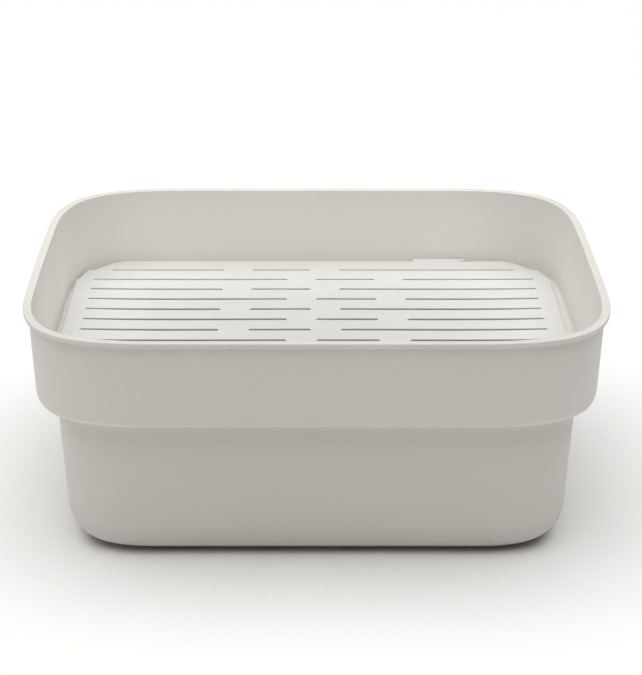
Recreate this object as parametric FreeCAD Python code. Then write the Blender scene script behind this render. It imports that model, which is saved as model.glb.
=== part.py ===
import FreeCAD, Part
import math
import os

# A rectangular plastic tub with a lift-out slotted drain tray, in millimetres.
# Frame: +X to the right, +Y to the back, +Z up. The origin is the centre of the base, on the table.
# An inset is measured in plan, from the rim's outer edge inwards.

# Rim lip
RIM_LENGTH = 370.0
RIM_DEPTH = 320.0
TUB_HEIGHT = 154.4
LIP_HEIGHT = 2.9
LIP_WIDTH = 5.1
LIP_OVERHANG = 2.95
LIP_ROUNDING = 0.7
MOUTH_ROUNDING = 0.6

# Collar, step and lower body
COLLAR_FOOT_INSET = 6.7
COLLAR_FOOT_FILLET = 6.0
STEP_Z = 95.9
STEP_FILLET = 2.5
BODY_TOP_INSET = 19.2
BODY_BASE_INSET = 25.3
BASE_FILLET = 22.6

# Inside
WALL = 2.4
FLOOR_THICKNESS = 3.0
LEDGE_Z = 98.4
LEDGE_INSET = 10.2
LEDGE_CORNER_FILLET = 2.4
LEDGE_NOSE_FILLET = 2.0
BASE_INSIDE_FILLET = BASE_FILLET - WALL

# Plan corners are cubic curves, softer than arcs; a reach is how far a corner takes up each side
RIM_CORNER_REACH = 88.4
COLLAR_FOOT_REACH = 77.0
LEDGE_CORNER_REACH = 67.5
BODY_CORNER_REACH = 63.2
CORNER_SHRINK = 0.88          # reach lost for each millimetre of further inset
CORNER_HANDLE = 0.74          # length of the curve's handles, as a share of its reach
SIDE_BOW = 0.45               # how far the straight part of each short side swells at its middle

# Foot pads, let into the base
PAD_RADIUS = 12.0
PAD_CLEARANCE = 0.2
PAD_THICKNESS = 2.0
PAD_PROUD = 0.8
PAD_CENTRE_X = 108.0
PAD_CENTRE_Y = 84.0
PAD_ROUNDING = 0.4

# Drain tray: sloping strips, each with its back edge standing over the front edge of the strip behind
TRAY_CENTRE_X = -1.3          # it has play on the ledge, and lies a little to the left
TRAY_LENGTH = 338.4
TRAY_CORNER_X = 33.0          # reach of its corners along the long sides
TRAY_CORNER_Y = 42.0          # and along the short ones
TRAY_CORNER_HANDLE = 0.43
STRIP_PITCH = 20.4
STRIP_COUNT = 14
STRIP_DROP = 3.3
CREST_OVER_LEDGE = 5.8
PLATE = 2.0
SKIRT = 2.0

# Slots, in rows behind the crests; positions along a row are from the tray's middle
SLOT_WIDTH = 2.8
SLOT_BEHIND_CREST = 5.1
SLOT_REACH = 157.9
SHORT_SLOT_REACH = 146.0      # in the first and last rows, beside the rounded corners
LONG_BRIDGE = (-64.4, -44.0)
SHORT_BRIDGE_LEFT = -1.9
SHORT_BRIDGE_RIGHT = 18.4

# Finger tab: the back strip carried on past the back edge
TAB_CENTRE_X = 90.7
TAB_WIDTH = 39.1
TAB_REACH = 4.0
TAB_ROOT = 1.0
TAB_CORNER_RADIUS = 2.0

BASE_Z = PAD_PROUD
FLOOR_Z = BASE_Z + FLOOR_THICKNESS
LIP_Z = TUB_HEIGHT - LIP_HEIGHT
TRAY_DEPTH = STRIP_PITCH * STRIP_COUNT
TRAY_BACK = TRAY_DEPTH / 2
CREST_Z = LEDGE_Z + CREST_OVER_LEDGE
STRIP_SLOPE = STRIP_DROP / STRIP_PITCH
UP = FreeCAD.Vector(0, 0, 1)


def corner_reach(inset):
    """Reach of the plan corners near the rim."""
    return RIM_CORNER_REACH - CORNER_SHRINK * inset


def body_corner_reach(inset):
    """Reach of the lower body's plan corners."""
    return BODY_CORNER_REACH - CORNER_SHRINK * (inset - BODY_TOP_INSET)


def soft_outline(centre_x, half_x, half_y, reach_x, reach_y, handle, bow, z):
    """Closed wire at height z: straight long sides, short sides that may bow, and soft corners."""
    flat_x = half_x - reach_x
    flat_y = half_y - reach_y
    end_x = half_x - bow
    lean = 2 * bow / flat_y

    def point(x, y):
        return FreeCAD.Vector(centre_x + x, y, z)

    def corner(side_x, side_y):
        """Curve from the long side on side_y to the short side on side_x."""
        curve = Part.BezierCurve()
        curve.setPoles([
            point(side_x * flat_x, side_y * half_y),
            point(side_x * (flat_x + handle * reach_x), side_y * half_y),
            point(side_x * (end_x - lean * handle * reach_y), side_y * (flat_y + handle * reach_y)),
            point(side_x * end_x, side_y * flat_y),
        ])
        return curve.toShape()

    def long_side(side_y):
        return Part.LineSegment(point(-flat_x, side_y * half_y), point(flat_x, side_y * half_y)).toShape()

    def short_side(side_x):
        low = point(side_x * end_x, -flat_y)
        high = point(side_x * end_x, flat_y)
        if bow == 0:
            return Part.LineSegment(low, high).toShape()
        return Part.Arc(low, point(side_x * half_x, 0), high).toShape()

    edges = [
        long_side(-1),
        corner(1, -1),
        short_side(1),
        corner(1, 1),
        long_side(1),
        corner(-1, 1),
        short_side(-1),
        corner(-1, -1),
    ]
    return Part.Wire(Part.__sortEdges__(edges))


def outline(inset, reach, z):
    """Outline of the tub at height z."""
    half_x = RIM_LENGTH / 2 - inset
    half_y = RIM_DEPTH / 2 - inset
    return soft_outline(0, half_x, half_y, reach, reach, CORNER_HANDLE, SIDE_BOW, z)


def loft(lower, upper):
    return Part.makeLoft([lower, upper], True, True)


def whole(shape):
    """The single solid of a boolean result."""
    return shape.removeSplitter().Solids[0]


def rounded(shape, radius, wire):
    """The shape with the edges that lie on the wire rounded."""
    edges = []
    for edge in shape.Edges:
        middle = edge.valueAt((edge.FirstParameter + edge.LastParameter) / 2)
        places = [vertex.Point for vertex in edge.Vertexes] + [middle]
        if all(wire.distToShape(Part.Vertex(place))[0] < 0.01 for place in places):
            edges.append(edge)
    return shape.makeFillet(radius, edges).Solids[0]


def stepped(collar_top, collar_foot, body_top, body_base):
    """A drafted collar standing on a narrower drafted body."""
    return whole(loft(collar_foot, collar_top).fuse(loft(body_base, body_top)))


def tub_outside():
    rim_low = outline(0, corner_reach(0), LIP_Z)
    rim_high = outline(0, corner_reach(0), TUB_HEIGHT)
    collar_top = outline(LIP_OVERHANG, corner_reach(LIP_OVERHANG), LIP_Z)
    collar_foot = outline(COLLAR_FOOT_INSET, COLLAR_FOOT_REACH, STEP_Z)
    body_top = outline(BODY_TOP_INSET, body_corner_reach(BODY_TOP_INSET), STEP_Z)
    body_base = outline(BODY_BASE_INSET, body_corner_reach(BODY_BASE_INSET), BASE_Z)

    shape = stepped(collar_top, collar_foot, body_top, body_base)
    shape = rounded(shape, BASE_FILLET, body_base)
    shape = rounded(shape, COLLAR_FOOT_FILLET, collar_foot)
    shape = rounded(shape, STEP_FILLET, body_top)
    shape = whole(shape.fuse(loft(rim_low, rim_high)))
    shape = rounded(shape, LIP_ROUNDING, rim_high)
    return rounded(shape, LIP_ROUNDING, rim_low)


def tub_mouth():
    """Inner edge of the rim."""
    return outline(LIP_WIDTH, corner_reach(LIP_WIDTH), TUB_HEIGHT)


def tub_inside():
    floor_inset = BODY_BASE_INSET + WALL
    throat_inset = BODY_TOP_INSET + WALL
    ledge = outline(LEDGE_INSET, LEDGE_CORNER_REACH, LEDGE_Z)
    throat = outline(throat_inset, body_corner_reach(throat_inset), LEDGE_Z)
    floor = outline(floor_inset, body_corner_reach(floor_inset), FLOOR_Z)

    shape = stepped(tub_mouth(), ledge, throat, floor)
    shape = rounded(shape, BASE_INSIDE_FILLET, floor)
    shape = rounded(shape, LEDGE_CORNER_FILLET, ledge)
    return rounded(shape, LEDGE_NOSE_FILLET, throat)


def pad_places():
    """Name and centre of each foot pad."""
    places = {}
    for row, side_y in (("front", -1), ("back", 1)):
        for column, side_x in (("left", -1), ("right", 1)):
            centre = FreeCAD.Vector(side_x * PAD_CENTRE_X, side_y * PAD_CENTRE_Y, 0)
            places["foot_pad_" + row + "_" + column] = centre
    return places


def tub():
    shape = rounded(tub_outside().cut(tub_inside()), MOUTH_ROUNDING, tub_mouth())
    for centre in pad_places().values():
        shape = shape.cut(Part.makeCylinder(PAD_RADIUS + PAD_CLEARANCE, PAD_THICKNESS, centre))
    return shape.Solids[0]


def foot_pad(centre):
    shape = Part.makeCylinder(PAD_RADIUS, PAD_THICKNESS, centre)
    low_edges = [edge for edge in shape.Edges if edge.BoundBox.ZMax < 0.01]
    return shape.makeFillet(PAD_ROUNDING, low_edges)


def tray_block(inset):
    """Upright block with the tray's plan outline, from the ledge to above the crests."""
    half_x = TRAY_LENGTH / 2 - inset
    half_y = TRAY_BACK - inset
    reach_x = TRAY_CORNER_X - inset
    reach_y = TRAY_CORNER_Y - inset
    wire = soft_outline(TRAY_CENTRE_X, half_x, half_y, reach_x, reach_y, TRAY_CORNER_HANDLE, 0, LEDGE_Z)
    return Part.Face(wire).extrude(UP * 2 * CREST_OVER_LEDGE)


def under_strips(lowered, shift):
    """Everything between the ledge and the stepped surface of the strips, lowered and shifted forwards."""
    crest = CREST_Z - lowered
    start = TRAY_BACK + STRIP_PITCH
    points = [(start, LEDGE_Z)]
    for i in range(STRIP_COUNT + 2):
        back = start - i * STRIP_PITCH - shift
        points.append((back, crest))
        points.append((back - STRIP_PITCH, crest - STRIP_DROP))
    points.append((points[-1][0], LEDGE_Z))
    left = TRAY_CENTRE_X - TRAY_LENGTH
    corners = [FreeCAD.Vector(left, y, z) for y, z in points]
    face = Part.Face(Part.makePolygon(corners + corners[:1]))
    return face.extrude(FreeCAD.Vector(2 * TRAY_LENGTH, 0, 0))


def slot(left, right, near):
    """Upright round-ended solid for one slot, near being its front edge."""
    radius = SLOT_WIDTH / 2
    middle = near + radius
    far = near + SLOT_WIDTH

    def point(x, y):
        return FreeCAD.Vector(TRAY_CENTRE_X + x, y, LEDGE_Z)

    edges = [
        Part.LineSegment(point(left + radius, near), point(right - radius, near)).toShape(),
        Part.Arc(point(right - radius, near), point(right, middle), point(right - radius, far)).toShape(),
        Part.LineSegment(point(right - radius, far), point(left + radius, far)).toShape(),
        Part.Arc(point(left + radius, far), point(left, middle), point(left + radius, near)).toShape(),
    ]
    return Part.Face(Part.Wire(edges)).extrude(UP * 2 * CREST_OVER_LEDGE)


def row_spans(row):
    """Left and right ends of the three slots of a row; even rows mirror odd ones."""
    reach = SHORT_SLOT_REACH if row in (1, STRIP_COUNT - 1) else SLOT_REACH
    spans = [
        (-reach, LONG_BRIDGE[0]),
        (LONG_BRIDGE[1], SHORT_BRIDGE_LEFT),
        (SHORT_BRIDGE_RIGHT, reach),
    ]
    if row % 2 == 0:
        spans = [(-right, -left) for left, right in spans]
    return spans


def slots():
    solids = []
    for row in range(1, STRIP_COUNT):
        near = TRAY_BACK - row * STRIP_PITCH + SLOT_BEHIND_CREST
        solids += [slot(left, right, near) for left, right in row_spans(row)]
    return solids


def finger_tab():
    front = TRAY_BACK - TAB_ROOT
    back = TRAY_BACK + TAB_REACH
    front_z = CREST_Z - STRIP_SLOPE * TAB_ROOT
    back_z = CREST_Z + STRIP_SLOPE * TAB_REACH
    left = TAB_CENTRE_X - TAB_WIDTH / 2
    corners = [
        FreeCAD.Vector(left, front, front_z),
        FreeCAD.Vector(left, back, back_z),
        FreeCAD.Vector(left, back, back_z - PLATE),
        FreeCAD.Vector(left, front, front_z - PLATE),
    ]
    face = Part.Face(Part.makePolygon(corners + corners[:1]))
    tab = face.extrude(FreeCAD.Vector(TAB_WIDTH, 0, 0))
    back_edges = [edge for edge in tab.Edges if edge.BoundBox.YMin > back - TAB_ROOT / 2]
    uprights = [edge for edge in back_edges if edge.BoundBox.ZLength > PLATE / 2]
    return tab.makeFillet(TAB_CORNER_RADIUS, uprights)


def drain_tray():
    plate = under_strips(0, 0).common(tray_block(0))
    hollow = under_strips(PLATE, SKIRT).common(tray_block(SKIRT))
    shape = plate.cut(hollow).cut(slots()).fuse(finger_tab())
    return whole(shape)


os.makedirs("parts", exist_ok=True)
tub().exportStep("parts/tub.step")
drain_tray().exportStep("parts/drain_tray.step")
for name, centre in pad_places().items():
    foot_pad(centre).exportStep("parts/" + name + ".step")
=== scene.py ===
import math

import bmesh
import bpy
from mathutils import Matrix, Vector


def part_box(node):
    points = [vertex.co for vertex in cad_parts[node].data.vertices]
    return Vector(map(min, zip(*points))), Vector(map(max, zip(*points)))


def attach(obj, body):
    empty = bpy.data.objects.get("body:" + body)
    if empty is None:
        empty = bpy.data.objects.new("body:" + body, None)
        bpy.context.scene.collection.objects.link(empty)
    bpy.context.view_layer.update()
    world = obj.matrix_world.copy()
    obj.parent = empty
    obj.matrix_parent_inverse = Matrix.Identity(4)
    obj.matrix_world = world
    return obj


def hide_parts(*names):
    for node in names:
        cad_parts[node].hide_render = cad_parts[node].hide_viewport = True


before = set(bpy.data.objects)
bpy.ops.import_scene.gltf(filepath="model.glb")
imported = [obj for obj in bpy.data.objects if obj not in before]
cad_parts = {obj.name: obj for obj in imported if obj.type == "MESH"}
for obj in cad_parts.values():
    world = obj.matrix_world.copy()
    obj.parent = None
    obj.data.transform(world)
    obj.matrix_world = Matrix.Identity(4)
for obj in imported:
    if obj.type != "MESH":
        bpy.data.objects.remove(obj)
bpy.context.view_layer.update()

# A plastic tub with a lift-out slotted drain tray. Lengths are in metres and the frame is the part's:
# +X to the right, +Y to the back, +Z up, origin on the table at the centre of the base.
# An inset is measured in plan, from the rim's outer edge inwards. A reach is how far a plan corner
# takes up each side.

tub_low, tub_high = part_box("tub")
tray_low, tray_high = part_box("drain_tray")
pad_nodes = [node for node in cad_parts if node.startswith("foot_pad")]

# Tub: heights
TUB_TOP = tub_high.z
BASE_Z = tub_low.z
LEDGE_Z = tray_low.z
LIP_Z = TUB_TOP - 0.0029
STEP_Z = 0.0959
FLOOR_Z = BASE_Z + 0.003

# Tub: insets
RIM_HALF_X = tub_high.x
RIM_HALF_Y = tub_high.y
WALL = 0.0024
LIP_OVERHANG = 0.00295
LIP_WIDTH = 0.0051
COLLAR_FOOT_INSET = 0.0067
LEDGE_INSET = 0.0102
BODY_TOP_INSET = 0.0192
BODY_BASE_INSET = 0.0253

# Tub: roundings of the section
LIP_ROUNDING = 0.0007
LIP_ROOT_ROUNDING = 0.0004
MOUTH_ROUNDING = 0.0006
COLLAR_FOOT_ROUNDING = 0.006
STEP_ROUNDING = 0.0025
BASE_ROUNDING = 0.0226
LEDGE_CORNER_ROUNDING = 0.0024
LEDGE_NOSE_ROUNDING = 0.002

# Tub: plan corners
RIM_REACH = 0.0884
COLLAR_FOOT_REACH = 0.077
LEDGE_REACH = 0.0675
BODY_REACH = 0.0632
REACH_SHRINK = 0.88
TUB_HANDLE = 0.74
SIDE_BOW = 0.00045

# Tray
TRAY_CENTRE_X = (tray_low.x + tray_high.x) / 2
TRAY_HALF_X = (tray_high.x - tray_low.x) / 2
TRAY_BACK = -tray_low.y
TRAY_REACH_X = 0.033
TRAY_REACH_Y = 0.042
TRAY_HANDLE = 0.43
STRIP_COUNT = 14
STRIP_PITCH = 2 * TRAY_BACK / STRIP_COUNT
STRIP_DROP = 0.0033
CREST_Z = LEDGE_Z + 0.0058
STRIP_SLOPE = STRIP_DROP / STRIP_PITCH
PLATE = 0.002
SKIRT = 0.002
TRAY_EDGE_ROUNDING = 0.00045
SAG_STATIONS = 42                # divisions along a strip, so that it can bend

BELOW = 0.002                    # how far a cutting shape goes on past what it cuts

# Slots; positions along a row are from the tray's middle
SLOT_WIDTH = 0.0028
SLOT_BEHIND_CREST = 0.0051
SLOT_REACH = 0.1579
SHORT_SLOT_REACH = 0.146
LONG_BRIDGE = (-0.0644, -0.044)
SHORT_BRIDGE = (-0.0019, 0.0184)

# Finger tab
TAB_CENTRE_X = 0.0907
TAB_WIDTH = 0.0391
TAB_BACK = tray_high.y
TAB_ROOT = 0.001
TAB_ROUNDING = 0.002

# The moulded tray isn't quite flat: it sags between its edges and lifts a little at its ends
SAG = 0.00087
SAG_MIDDLE_Y = 0.03
SAG_HALF_DEPTH = 0.13
SAG_HALF_LENGTH = 0.165
SAG_SHAPE = (0.75, 1.9, -3.0)    # share of the sag, by powers of (x / half length) squared

# Foot pads: rubber discs, each in a recess a little wider, with a shallow dish underneath
PAD_CLEARANCE = 0.0002
PAD_ROUNDING = 0.0004
PAD_DISH = 0.0003
PAD_DISH_RIM = 0.72              # shares of the pad's radius
PAD_DISH_FLOOR = 0.6
PAD_DISH_MIDDLE = 0.35

# Fineness of the meshes
TUB_STEPS = (8, 30, 6)           # divisions of half a long side, a corner and half a short side
TRAY_STEPS = (1, 16, 1)
FILLET_STEPS = 4
FILLET_STEP_RADIUS = 0.0018      # a section rounding gets one more division for each of these
CIRCLE_SIDES = 64

# Plastic and rubber: colour, roughness, grain size and grain depth of each
TUB_PLASTIC = ((0.668, 0.648, 0.612), 0.5, 0.0006, 0.00002)
# The tray is the same plastic as the tub; its colour is darkened with painted shade, to offset the extra
# light the inner beams throw on the tray
TRAY_SHADED_PLASTIC = ((0.575, 0.568, 0.55), 0.48, 0.0005, 0.000015)
PAD_RUBBER = ((0.42, 0.42, 0.41), 0.75, 0.0003, 0.00003)
IOR = 1.46
TINT_SPREAD = 0.015              # clouding in colour, as a share of it either way
GLOSS_SPREAD = 0.04              # unevenness in roughness either way
NOISE_MIDDLE = (0.3, 0.7)        # the part of a noise's range that is used
CLOUD_SCALE = 9
GLOSS_SCALE = 35
WAVE_SCALE = 45
WAVE_DEPTH = 0.00012
WAVE_STRENGTH = 0.4
GRAIN_STRENGTH = 0.5

# Camera
CAMERA_TARGET = Vector((-0.0079, 0, 0.0927))
CAMERA_DISTANCE = 1.488
CAMERA_ELEVATION = math.radians(20.85)
CAMERA_LENS = 117.93
CAMERA_SENSOR = 36
CAMERA_SHIFT = (0.02525, 0.01144)

# Floor and light: an overhead sky of soft light, a weak fill from the left, and a narrow beam of light
# on each inner wall
FLOOR_HALF = 6
FLOOR_THICKNESS = 0.02
FLOOR_COLOUR = (0.868, 0.86, 0.85, 1)
ROOM_COLOUR = (1, 0.92, 0.82, 1)
ROOM_STRENGTH = 0.04
OVERHEAD_STRENGTH = 3.6
OVERHEAD_ANGLE = math.radians(88)
OVERHEAD_TILT = (math.radians(-1), math.radians(-2), 0)
SIDE_FILL_COLOUR = (1, 0.98, 0.96)
SIDE_FILL_PLACE = Vector((-1.6, -0.3, 0.25))
SIDE_FILL_TARGET = Vector((0, -0.1, 0.1))
BEAM_COLOUR = (1, 0.99, 0.97)
BEAM_ELEVATION = math.radians(25)
BEAM_DISTANCE = 0.9
BEAM_SPREAD = math.radians(12)
BEAM_HEIGHT = 0.1
INNER_BEAMS = (                  # name, target, direction of the light from there, width and energy
    ("inner_back_fill", Vector((-0.01, 0.14, 0.135)), Vector((0, -1, 0)), 0.36, 0.05),
    ("inner_left_fill", Vector((-0.165, 0.01, 0.132)), Vector((1, 0, 0)), 0.26, 0.032),
    ("inner_right_fill", Vector((0.165, 0.01, 0.132)), Vector((-1, 0, 0)), 0.26, 0.032),
)


def tub_reach(inset):
    return RIM_REACH - REACH_SHRINK * inset


def body_reach(inset):
    return BODY_REACH - REACH_SHRINK * (inset - BODY_TOP_INSET)


def soft_outline(half_x, half_y, reach_x, reach_y, handle, bow, steps):
    """Plan points of a rectangle with soft corners, from the middle of the back edge round to the right.
    steps are the divisions of half a long side, a corner and half a short side."""
    flat_x = half_x - reach_x
    flat_y = half_y - reach_y
    end_x = half_x - bow
    lean = 2 * bow / flat_y
    poles = (
        Vector((flat_x, half_y)),
        Vector((flat_x + handle * reach_x, half_y)),
        Vector((end_x - lean * handle * reach_y, flat_y + handle * reach_y)),
        Vector((end_x, flat_y)),
    )
    along_long, along_corner, along_short = steps
    quarter = [(flat_x * i / along_long, half_y) for i in range(along_long)]
    for i in range(along_corner):
        t = i / along_corner
        weights = ((1 - t) ** 3, 3 * (1 - t) ** 2 * t, 3 * (1 - t) * t ** 2, t ** 3)
        quarter.append(tuple(sum((w * pole for w, pole in zip(weights, poles)), Vector((0, 0)))))
    for i in range(along_short + 1):
        t = 1 - i / along_short
        quarter.append((half_x - bow * t ** 2, flat_y * t))
    right = quarter + [(x, -y) for x, y in reversed(quarter[:-1])]
    return right + [(-x, y) for x, y in reversed(right[1:-1])]


def corner_samples(before, corner, after):
    """One rounded corner of the tub's section, as (inset, z, reach) samples."""
    inset, z, reach, radius = corner
    here = Vector((inset, z))
    back = Vector(before[:2]) - here
    ahead = Vector(after[:2]) - here
    half_angle = back.angle(ahead) / 2
    tangent = radius / math.tan(half_angle)
    centre = here + (back.normalized() + ahead.normalized()).normalized() * radius / math.sin(half_angle)

    def end(direction, neighbour):
        """Where the rounding meets a side; on a flat one the corners stay parallel."""
        place = here + direction.normalized() * tangent
        if direction.y == 0:
            return place, reach - REACH_SHRINK * (place.x - inset)
        return place, reach + (neighbour[2] - reach) * tangent / direction.length

    first, first_reach = end(back, before)
    last, last_reach = end(ahead, after)
    start = math.atan2(*(first - centre).yx)
    turn = math.remainder(math.atan2(*(last - centre).yx) - start, 2 * math.pi)
    steps = FILLET_STEPS + int(radius / FILLET_STEP_RADIUS)
    samples = []
    for i in range(steps + 1):
        angle = start + turn * i / steps
        place = centre + radius * Vector((math.cos(angle), math.sin(angle)))
        share = (place.x - first.x) / (last.x - first.x)
        samples.append((place.x, place.y, first_reach + (last_reach - first_reach) * share))
    return samples


def skin(loops):
    """Points and faces of a closed skin through loops of equal length."""
    count = len(loops[0])
    points = [point for loop in loops for point in loop]
    faces = [tuple(range(count)), tuple(range(len(points) - count, len(points)))]
    for low in range(0, len(points) - count, count):
        for i in range(count):
            j = (i + 1) % count
            faces.append((low + i, low + j, low + count + j, low + count + i))
    return points, faces


def prism(outline, low, high):
    """Upright prism over a plan outline."""
    return skin([[(x, y, z) for x, y in outline] for z in (low, high)])


def new_piece(name, *skins):
    """One mesh object from closed skins."""
    points = []
    faces = []
    for skin_points, skin_faces in skins:
        faces += [tuple(i + len(points) for i in face) for face in skin_faces]
        points += skin_points
    mesh = bpy.data.meshes.new(name)
    mesh.from_pydata(points, [], faces)
    form = bmesh.new()
    form.from_mesh(mesh)
    bmesh.ops.recalc_face_normals(form, faces=form.faces)
    form.to_mesh(mesh)
    form.free()
    piece = bpy.data.objects.new(name, mesh)
    bpy.context.scene.collection.objects.link(piece)
    return piece


def settle(piece):
    """Applies the piece's modifiers to its mesh."""
    graph = bpy.context.evaluated_depsgraph_get()
    mesh = bpy.data.meshes.new_from_object(piece.evaluated_get(graph))
    piece.modifiers.clear()
    piece.data = mesh
    mesh.name = piece.name


def combine(piece, tool, operation):
    """Boolean of the piece with a tool, which is used up."""
    boolean = piece.modifiers.new(operation, "BOOLEAN")
    boolean.operation = operation
    boolean.solver = "EXACT"
    boolean.object = tool
    settle(piece)
    bpy.data.objects.remove(tool)


def smooth(piece, sharp_angle):
    """Smooth shading, even on the flat faces beside a rounding, with edges over the angle kept sharp."""
    piece.data.shade_smooth()
    piece.data.set_sharp_from_angle(angle=math.radians(sharp_angle))
    weighted = piece.modifiers.new("weighted_normals", "WEIGHTED_NORMAL")
    weighted.keep_sharp = True
    settle(piece)


def circle(centre, radius):
    """Plan points of a circle round centre."""
    turns = [2 * math.pi * i / CIRCLE_SIDES for i in range(CIRCLE_SIDES)]
    return [(centre.x + radius * math.cos(turn), centre.y + radius * math.sin(turn)) for turn in turns]


def tub_section():
    """The tub's wall in section: up the outside, over the rim and down the inside."""
    throat_inset = BODY_TOP_INSET + WALL
    floor_inset = BODY_BASE_INSET + WALL
    flat = 2 * BASE_ROUNDING
    corners = (
        (BODY_BASE_INSET + flat, BASE_Z, 0, 0),
        (BODY_BASE_INSET, BASE_Z, body_reach(BODY_BASE_INSET), BASE_ROUNDING),
        (BODY_TOP_INSET, STEP_Z, BODY_REACH, STEP_ROUNDING),
        (COLLAR_FOOT_INSET, STEP_Z, COLLAR_FOOT_REACH, COLLAR_FOOT_ROUNDING),
        (LIP_OVERHANG, LIP_Z, tub_reach(LIP_OVERHANG), LIP_ROOT_ROUNDING),
        (0, LIP_Z, RIM_REACH, LIP_ROUNDING),
        (0, TUB_TOP, RIM_REACH, LIP_ROUNDING),
        (LIP_WIDTH, TUB_TOP, tub_reach(LIP_WIDTH), MOUTH_ROUNDING),
        (LEDGE_INSET, LEDGE_Z, LEDGE_REACH, LEDGE_CORNER_ROUNDING),
        (throat_inset, LEDGE_Z, body_reach(throat_inset), LEDGE_NOSE_ROUNDING),
        (floor_inset, FLOOR_Z, body_reach(floor_inset), BASE_ROUNDING - WALL),
        (floor_inset + flat, FLOOR_Z, 0, 0),
    )
    samples = []
    for before, corner, after in zip(corners, corners[1:], corners[2:]):
        samples += corner_samples(before, corner, after)
    return samples


def make_tub():
    loops = []
    for inset, z, reach in tub_section():
        halves = RIM_HALF_X - inset, RIM_HALF_Y - inset
        plan = soft_outline(*halves, reach, reach, TUB_HANDLE, SIDE_BOW, TUB_STEPS)
        loops.append([(x, y, z) for x, y in plan])
    piece = new_piece("tub_moulding", skin(loops))
    recesses = []
    for node in pad_nodes:
        low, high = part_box(node)
        radius = (high.x - low.x) / 2 + PAD_CLEARANCE
        recesses.append(prism(circle((low + high) / 2, radius), low.z - BELOW, high.z))
    combine(piece, new_piece("recesses", *recesses), "DIFFERENCE")
    smooth(piece, sharp_angle=40)
    return piece


def make_pad(node):
    """A flat rubber disc with rounded edges and a shallow dish in its underside."""
    low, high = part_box(node)
    middle = (low + high) / 2
    radius = (high.x - low.x) / 2
    profile = [
        (radius * PAD_DISH_MIDDLE, low.z + PAD_DISH),
        (radius * PAD_DISH_FLOOR, low.z + PAD_DISH),
        (radius * PAD_DISH_RIM, low.z),
    ]
    steps = 4
    for i in range(steps + 1):
        angle = math.pi / 2 * i / steps
        edge = radius - PAD_ROUNDING * (1 - math.sin(angle))
        profile.append((edge, low.z + PAD_ROUNDING * (1 - math.cos(angle))))
    profile += [(radius, high.z - PAD_ROUNDING / 2), (radius - PAD_ROUNDING / 2, high.z)]
    loops = [[(x, y, z) for x, y in circle(middle, r)] for r, z in profile]
    piece = new_piece(node + "_disc", skin(loops))
    smooth(piece, sharp_angle=50)
    return piece


def tray_block(inset, low):
    """Upright prism with the tray's plan outline, from low to above the crests."""
    reach_x = TRAY_REACH_X - inset
    reach_y = TRAY_REACH_Y - inset
    halves = TRAY_HALF_X - inset, TRAY_BACK - inset
    plan = soft_outline(*halves, reach_x, reach_y, TRAY_HANDLE, 0, TRAY_STEPS)
    return prism([(TRAY_CENTRE_X + x, y) for x, y in plan], low, CREST_Z + BELOW)


def under_strips(lowered, shift, low):
    """All that lies over low and under the strips' stepped surface, lowered and shifted forwards."""
    crest = CREST_Z - lowered
    start = TRAY_BACK + STRIP_PITCH - shift
    section = [(start, low)]
    for i in range(STRIP_COUNT + 2):
        back = start - i * STRIP_PITCH
        section += [(back, crest), (back - STRIP_PITCH, crest - STRIP_DROP)]
    section.append((section[-1][0], low))
    half = TRAY_HALF_X + BELOW
    loops = []
    for i in range(SAG_STATIONS + 1):
        x = TRAY_CENTRE_X + half * (2 * i / SAG_STATIONS - 1)
        loops.append([(x, y, z) for y, z in section])
    return skin(loops)


def slot_prism(left, right, near):
    """Cutting shape for one round-ended slot, near being its front edge."""
    radius = SLOT_WIDTH / 2
    middle = near + radius
    steps = 12
    outline = []
    for centre, start in ((right - radius, -math.pi / 2), (left + radius, math.pi / 2)):
        for i in range(steps + 1):
            angle = start + math.pi * i / steps
            x = TRAY_CENTRE_X + centre + radius * math.cos(angle)
            outline.append((x, middle + radius * math.sin(angle)))
    return prism(outline, LEDGE_Z - BELOW, CREST_Z + BELOW)


def row_spans(row):
    """Left and right ends of the three slots of a row; even rows mirror odd ones."""
    reach = SHORT_SLOT_REACH if row in (1, STRIP_COUNT - 1) else SLOT_REACH
    spans = [(-reach, LONG_BRIDGE[0]), (LONG_BRIDGE[1], SHORT_BRIDGE[0]), (SHORT_BRIDGE[1], reach)]
    if row % 2 == 0:
        spans = [(-right, -left) for left, right in spans]
    return spans


def slot_prisms():
    prisms = []
    for row in range(1, STRIP_COUNT):
        near = TRAY_BACK - row * STRIP_PITCH + SLOT_BEHIND_CREST
        prisms += [slot_prism(left, right, near) for left, right in row_spans(row)]
    return prisms


def finger_tab():
    """The back strip carried on past the tray's back edge."""
    left = TAB_CENTRE_X - TAB_WIDTH / 2
    right = TAB_CENTRE_X + TAB_WIDTH / 2
    front = TRAY_BACK - TAB_ROOT
    steps = 6
    outline = [(left, front), (right, front)]
    for corner_x, start in ((right - TAB_ROUNDING, 0), (left + TAB_ROUNDING, math.pi / 2)):
        for i in range(steps + 1):
            angle = start + math.pi / 2 * i / steps
            x = corner_x + TAB_ROUNDING * math.cos(angle)
            outline.append((x, TAB_BACK - TAB_ROUNDING + TAB_ROUNDING * math.sin(angle)))
    loops = []
    for depth in (PLATE, 0):
        loops.append([(x, y, CREST_Z - depth + STRIP_SLOPE * (y - TRAY_BACK)) for x, y in outline])
    return skin(loops)


def let_sag(piece):
    """Lowers the tray's middle and lifts its ends a little, with its foot left flat on the ledge."""
    for vertex in piece.data.vertices:
        x, y, z = vertex.co
        from_middle = (y - SAG_MIDDLE_Y) / SAG_HALF_DEPTH
        if abs(from_middle) < 1:
            along = ((x - TRAY_CENTRE_X) / SAG_HALF_LENGTH) ** 2
            share = sum(factor * along ** power for power, factor in enumerate(SAG_SHAPE))
            height = (z - LEDGE_Z) / (CREST_Z - LEDGE_Z)
            vertex.co.z -= SAG * share * math.cos(math.pi / 2 * from_middle) ** 2 * height


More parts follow.
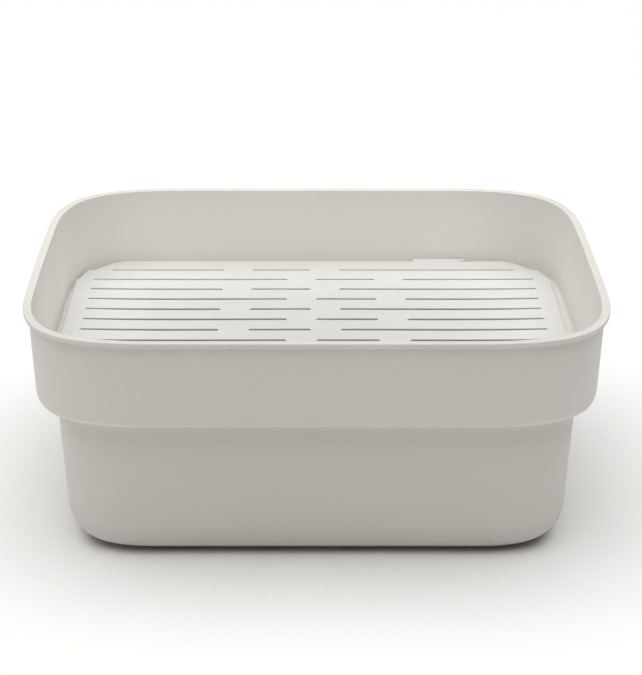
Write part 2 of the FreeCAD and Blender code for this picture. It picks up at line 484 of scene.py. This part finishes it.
def make_tray():
    piece = new_piece("tray_plate", under_strips(0, 0, LEDGE_Z))
    combine(piece, new_piece("outline_tool", tray_block(0, LEDGE_Z - BELOW)), "INTERSECT")
    hollow = new_piece("hollow_tool", under_strips(PLATE, SKIRT, LEDGE_Z - BELOW))
    combine(hollow, new_piece("inner_tool", tray_block(SKIRT, LEDGE_Z - 2 * BELOW)), "INTERSECT")
    combine(piece, hollow, "DIFFERENCE")
    combine(piece, new_piece("slot_tool", *slot_prisms()), "DIFFERENCE")
    combine(piece, new_piece("tab_tool", finger_tab()), "UNION")
    let_sag(piece)
    bevel = piece.modifiers.new("edge_rounding", "BEVEL")
    bevel.width = TRAY_EDGE_ROUNDING
    bevel.segments = 2
    bevel.limit_method = "ANGLE"
    bevel.angle_limit = math.radians(35)
    bevel.use_clamp_overlap = False
    settle(piece)
    smooth(piece, sharp_angle=60)
    return piece


def moulded(name, colour, roughness, grain_size, grain_depth):
    """Matte moulded plastic or rubber: a fine etched grain, soft waviness, and slight clouding in colour
    and gloss."""
    material = bpy.data.materials.new(name)
    material.use_nodes = True
    nodes = material.node_tree.nodes
    links = material.node_tree.links
    shader = nodes["Principled BSDF"]
    place = nodes.new("ShaderNodeTexCoord")

    def noise(scale, detail):
        node = nodes.new("ShaderNodeTexNoise")
        node.inputs["Scale"].default_value = scale
        node.inputs["Detail"].default_value = detail
        links.new(place.outputs["Object"], node.inputs["Vector"])
        return node.outputs["Fac"]

    def ranged(value, low, high):
        node = nodes.new("ShaderNodeMapRange")
        node.inputs["From Min"].default_value, node.inputs["From Max"].default_value = NOISE_MIDDLE
        node.inputs["To Min"].default_value = low
        node.inputs["To Max"].default_value = high
        links.new(value, node.inputs["Value"])
        return node.outputs["Result"]

    def bump(height, strength, depth):
        node = nodes.new("ShaderNodeBump")
        node.inputs["Strength"].default_value = strength
        node.inputs["Distance"].default_value = depth
        links.new(height, node.inputs["Height"])
        return node

    clouds = ranged(noise(CLOUD_SCALE, detail=3), 0, 1)
    tint = nodes.new("ShaderNodeMix")
    tint.data_type = "RGBA"
    tint.inputs["A"].default_value = (*[(1 - TINT_SPREAD) * c for c in colour], 1)
    tint.inputs["B"].default_value = (*[(1 + TINT_SPREAD) * c for c in colour], 1)
    links.new(clouds, tint.inputs["Factor"])
    links.new(tint.outputs["Result"], shader.inputs["Base Color"])
    unevenness = noise(GLOSS_SCALE, detail=4)
    gloss = ranged(unevenness, roughness - GLOSS_SPREAD, roughness + GLOSS_SPREAD)
    links.new(gloss, shader.inputs["Roughness"])
    shader.inputs["IOR"].default_value = IOR

    grain = bump(noise(1 / grain_size, detail=3), GRAIN_STRENGTH, grain_depth)
    waviness = bump(noise(WAVE_SCALE, detail=1), WAVE_STRENGTH, WAVE_DEPTH)
    links.new(grain.outputs["Normal"], waviness.inputs["Normal"])
    links.new(waviness.outputs["Normal"], shader.inputs["Normal"])
    return material


def place_pieces():
    """Makes every piece, ties it to its body, gives it a material slot, and hides the CAD part it
    replaces.
    """
    tub_plastic = moulded("tub_plastic", *TUB_PLASTIC)
    tray_plastic = moulded("tray_plastic", *TRAY_SHADED_PLASTIC)
    pad_rubber = moulded("pad_rubber", *PAD_RUBBER)

    def finish_piece(piece, material, body, node):
        piece.data.materials.clear()
        piece.data.materials.append(material)
        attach(piece, body)
        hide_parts(node)

    finish_piece(make_tub(), tub_plastic, "tub", "tub")
    finish_piece(make_tray(), tray_plastic, "tray", "drain_tray")
    for node in pad_nodes:
        finish_piece(make_pad(node), pad_rubber, "tub", node)


def area_light(name, place, target, size, spread, energy, colour):
    """A rectangular softbox at place, facing target."""
    light = bpy.data.lights.new(name, "AREA")
    light.shape = "RECTANGLE"
    light.size, light.size_y = size
    light.spread = spread
    light.energy = energy
    light.color = colour
    lamp = bpy.data.objects.new(name, light)
    lamp.location = place
    lamp.rotation_euler = (target - place).to_track_quat("-Z", "Y").to_euler()
    bpy.context.scene.collection.objects.link(lamp)


def make_floor():
    half = FLOOR_HALF
    corners = [(-half, -half), (half, -half), (half, half), (-half, half)]
    floor = new_piece("floor", prism(corners, -FLOOR_THICKNESS, 0))
    floor_paint = bpy.data.materials.new("floor_paint")
    floor_paint.use_nodes = True
    shader = floor_paint.node_tree.nodes["Principled BSDF"]
    shader.inputs["Base Color"].default_value = FLOOR_COLOUR
    shader.inputs["Roughness"].default_value = 0.8
    shader.inputs["Specular IOR Level"].default_value = 0.1
    floor.data.materials.append(floor_paint)


def make_lights():
    world = bpy.data.worlds.new("studio")
    world.use_nodes = True
    background = world.node_tree.nodes["Background"]
    background.inputs["Color"].default_value = ROOM_COLOUR
    background.inputs["Strength"].default_value = ROOM_STRENGTH
    bpy.context.scene.world = world

    overhead = bpy.data.lights.new("overhead", "SUN")
    overhead.energy = OVERHEAD_STRENGTH
    overhead.angle = OVERHEAD_ANGLE
    lamp = bpy.data.objects.new("overhead", overhead)
    lamp.rotation_euler = OVERHEAD_TILT
    bpy.context.scene.collection.objects.link(lamp)

    area_light("left_fill", SIDE_FILL_PLACE, SIDE_FILL_TARGET, (0.8, 0.5), math.pi, 1.2, SIDE_FILL_COLOUR)
    for name, target, towards, width, energy in INNER_BEAMS:
        rise = Vector((0, 0, math.sin(BEAM_ELEVATION)))
        place = target + BEAM_DISTANCE * (math.cos(BEAM_ELEVATION) * towards + rise)
        area_light(name, place, target, (width, BEAM_HEIGHT), BEAM_SPREAD, energy, BEAM_COLOUR)


def make_camera():
    camera = bpy.data.objects.new("camera", bpy.data.cameras.new("camera"))
    bpy.context.scene.collection.objects.link(camera)
    towards = Vector((0, -math.cos(CAMERA_ELEVATION), math.sin(CAMERA_ELEVATION)))
    camera.location = CAMERA_TARGET + CAMERA_DISTANCE * towards
    camera.rotation_euler = (math.pi / 2 - CAMERA_ELEVATION, 0, 0)
    camera.data.lens = CAMERA_LENS
    camera.data.sensor_width = CAMERA_SENSOR
    camera.data.shift_x, camera.data.shift_y = CAMERA_SHIFT
    bpy.context.scene.camera = camera


bpy.context.scene.view_settings.view_transform = "Standard"
make_camera()
place_pieces()
make_floor()
make_lights()
